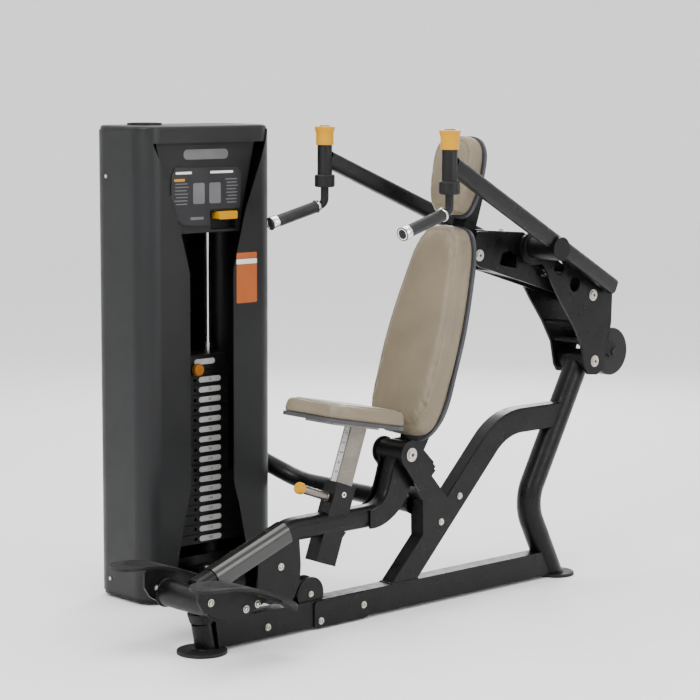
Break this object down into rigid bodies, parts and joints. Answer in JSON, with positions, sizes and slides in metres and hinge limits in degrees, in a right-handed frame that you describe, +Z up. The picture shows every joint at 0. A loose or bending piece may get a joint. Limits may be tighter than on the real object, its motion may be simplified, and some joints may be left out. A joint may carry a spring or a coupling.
{
  "type": "shoulder press machine",
  "caption": "Seated overhead press machine: rocking seat and back rest, converging press arms with turning handles, and an enclosed weight stack beside it.",
  "frame": {"origin": "centre of the machine's footprint box, on the floor", "axes": "+Z up, the user sits facing -Y, +X to the user's left, the weight stack on the -X side"},
  "size_m": [1.0534, 1.899, 1.431],
  "materials": {
    "frame_paint": "satin black powder coat",
    "foot_rubber": "matt black rubber",
    "shroud_plastic": "fine-grained charcoal plastic",
    "placard_print": "printed panel, satin",
    "shell_plastic": "moulded grey-black plastic",
    "vinyl": "taupe vinyl, lightly grained",
    "yellow_plastic": "moulded yellow plastic",
    "amber_knob": "amber plastic knob on a steel pin",
    "gloss_guard": "glossy black scuff guard",
    "chrome": "chrome plate",
    "steel": "zinc-plated steel",
    "grip_rubber": "knurled black grip",
    "housing_paint": "satin black machined sleeve",
    "plate_paint": "black painted weight plate",
    "pulley_plastic": "black nylon sheave"
  },
  "bodies": {
    "base": {"floor_feet": "foot_rubber", "front_post": "frame_paint", "front_bumper": "foot_rubber", "base_beam": "frame_paint", "beam_plates": "frame_paint", "lateral_tube": "frame_paint", "upright_tube": "frame_paint", "diagonal_beam": "frame_paint", "pivot_bracket": "frame_paint", "pivot_axle": "steel", "brace_tube": "frame_paint", "tower_frame": "frame_paint", "guide_rods": "chrome", "stack_bumpers": "foot_rubber", "plates_lower": "plate_paint", "plates_upper": "plate_paint", "front_shroud": "shroud_plastic", "rear_shroud": "shroud_plastic", "back_panel": "shroud_plastic", "top_cap": "shroud_plastic", "header_panel": "shroud_plastic", "placard": "placard_print", "frame_bolts": "steel"},
    "base_pulley": {"base_pulley": "pulley_plastic"},
    "lever": {"add_on_lever": "yellow_plastic"},
    "stack_head": {"head_plate": "plate_paint", "selector_stem": "chrome", "head_bushings": "steel"},
    "selector": {"selector_pin": "amber_knob"},
    "press_arm": {"arm_carrier": "frame_paint", "arm_tube_left": "frame_paint", "arm_tube_right": "frame_paint", "counterweight": "plate_paint", "arm_axles": "steel", "handle_housings": "housing_paint"},
    "handle_l": {"handle_left": "housing_paint", "grip_left": "grip_rubber"},
    "handle_r": {"handle_right": "housing_paint", "grip_right": "grip_rubber"},
    "knob_l": {"knob_left": "yellow_plastic"},
    "knob_r": {"knob_right": "yellow_plastic"},
    "link": {"link_bar": "frame_paint", "link_bolt": "steel"},
    "carriage": {"carriage_tube": "frame_paint", "scuff_guard": "gloss_guard", "foot_cross_tube": "frame_paint", "foot_plate_left": "foot_rubber", "foot_plate_right": "foot_rubber", "pulley_gussets": "frame_paint", "seat_sleeve": "frame_paint", "back_frame": "frame_paint", "pad_shells": "shell_plastic", "back_pad": "vinyl", "head_pad": "vinyl"},
    "carriage_pulley": {"carriage_pulley": "pulley_plastic"},
    "seat": {"seat_post": "steel", "seat_board": "shell_plastic", "seat_pad": "vinyl"},
    "pin": {"pull_pin": "yellow_plastic"}
  },
  "joints": [
    {"name": "press_arm_swing", "type": "hinge", "parent": "base", "child": "press_arm", "pos_m": [0.23028, 0.7535, 0.68], "axis": [-1, 0, 0], "range_deg": [0, 28]},
    {"name": "carriage_rock", "type": "hinge", "parent": "base", "child": "carriage", "pos_m": [0.23028, -0.0445, 0.472], "axis": [-1, 0, 0], "range_deg": [0, 9.6]},
    {"name": "link_swing", "type": "hinge", "parent": "press_arm", "child": "link", "pos_m": [0.23028, 0.7415, 0.89], "axis": [1, 0, 0], "range_deg": [0, 33]},
    {"name": "stack_lift", "type": "slide", "parent": "base", "child": "stack_head", "axis": [0, 0, 1], "range_m": [0, 0.19]},
    {"name": "base_pulley_spin", "type": "hinge", "parent": "base", "child": "base_pulley", "pos_m": [0.23028, -0.4015, 0.106], "axis": [-1, 0, 0], "range_deg": [0, 270]},
    {"name": "carriage_pulley_spin", "type": "hinge", "parent": "carriage", "child": "carriage_pulley", "pos_m": [0.23028, -0.5235, 0.205], "axis": [1, 0, 0], "range_deg": [0, 300]},
    {"name": "selector_pull", "type": "slide", "parent": "stack_head", "child": "selector", "axis": [1, 0, 0], "range_m": [0, 0.085]},
    {"name": "add_on_shift", "type": "slide", "parent": "base", "child": "lever", "axis": [0, -1, 0], "range_m": [0, 0.02]},
    {"name": "handle_turn_left", "type": "hinge", "parent": "press_arm", "child": "handle_l", "pos_m": [0.49028, -0.0975, 1.25], "axis": [0, 0, 1], "range_deg": [0, 90]},
    {"name": "handle_turn_right", "type": "hinge", "parent": "press_arm", "child": "handle_r", "pos_m": [-0.02972, -0.0975, 1.25], "axis": [0, 0, -1], "range_deg": [0, 90]},
    {"name": "knob_lift_left", "type": "slide", "parent": "press_arm", "child": "knob_l", "axis": [0, 0, 1], "range_m": [0, 0.01], "stiffness_N_per_m": 900, "springref_m": -0.004},
    {"name": "knob_lift_right", "type": "slide", "parent": "press_arm", "child": "knob_r", "axis": [0, 0, 1], "range_m": [0, 0.01], "stiffness_N_per_m": 900, "springref_m": -0.004},
    {"name": "seat_height", "type": "slide", "parent": "carriage", "child": "seat", "axis": [0, 0.342, 0.9397], "range_m": [-0.06, 0.06]},
    {"name": "seat_pin_pull", "type": "slide", "parent": "carriage", "child": "pin", "axis": [0, -0.9397, 0.342], "range_m": [0, 0.012], "stiffness_N_per_m": 900, "springref_m": -0.004}
  ],
  "couplings": [
    {"joint": "carriage_rock", "follows": "press_arm_swing", "ratio": 0.33755},
    {"joint": "link_swing", "follows": "press_arm_swing", "ratio": 1.1709},
    {"joint": "stack_lift", "follows": "press_arm_swing", "m_per_rad": 0.38},
    {"joint": "base_pulley_spin", "follows": "press_arm_swing", "ratio": 9.5},
    {"joint": "carriage_pulley_spin", "follows": "press_arm_swing", "ratio": 10.556}
  ]
}
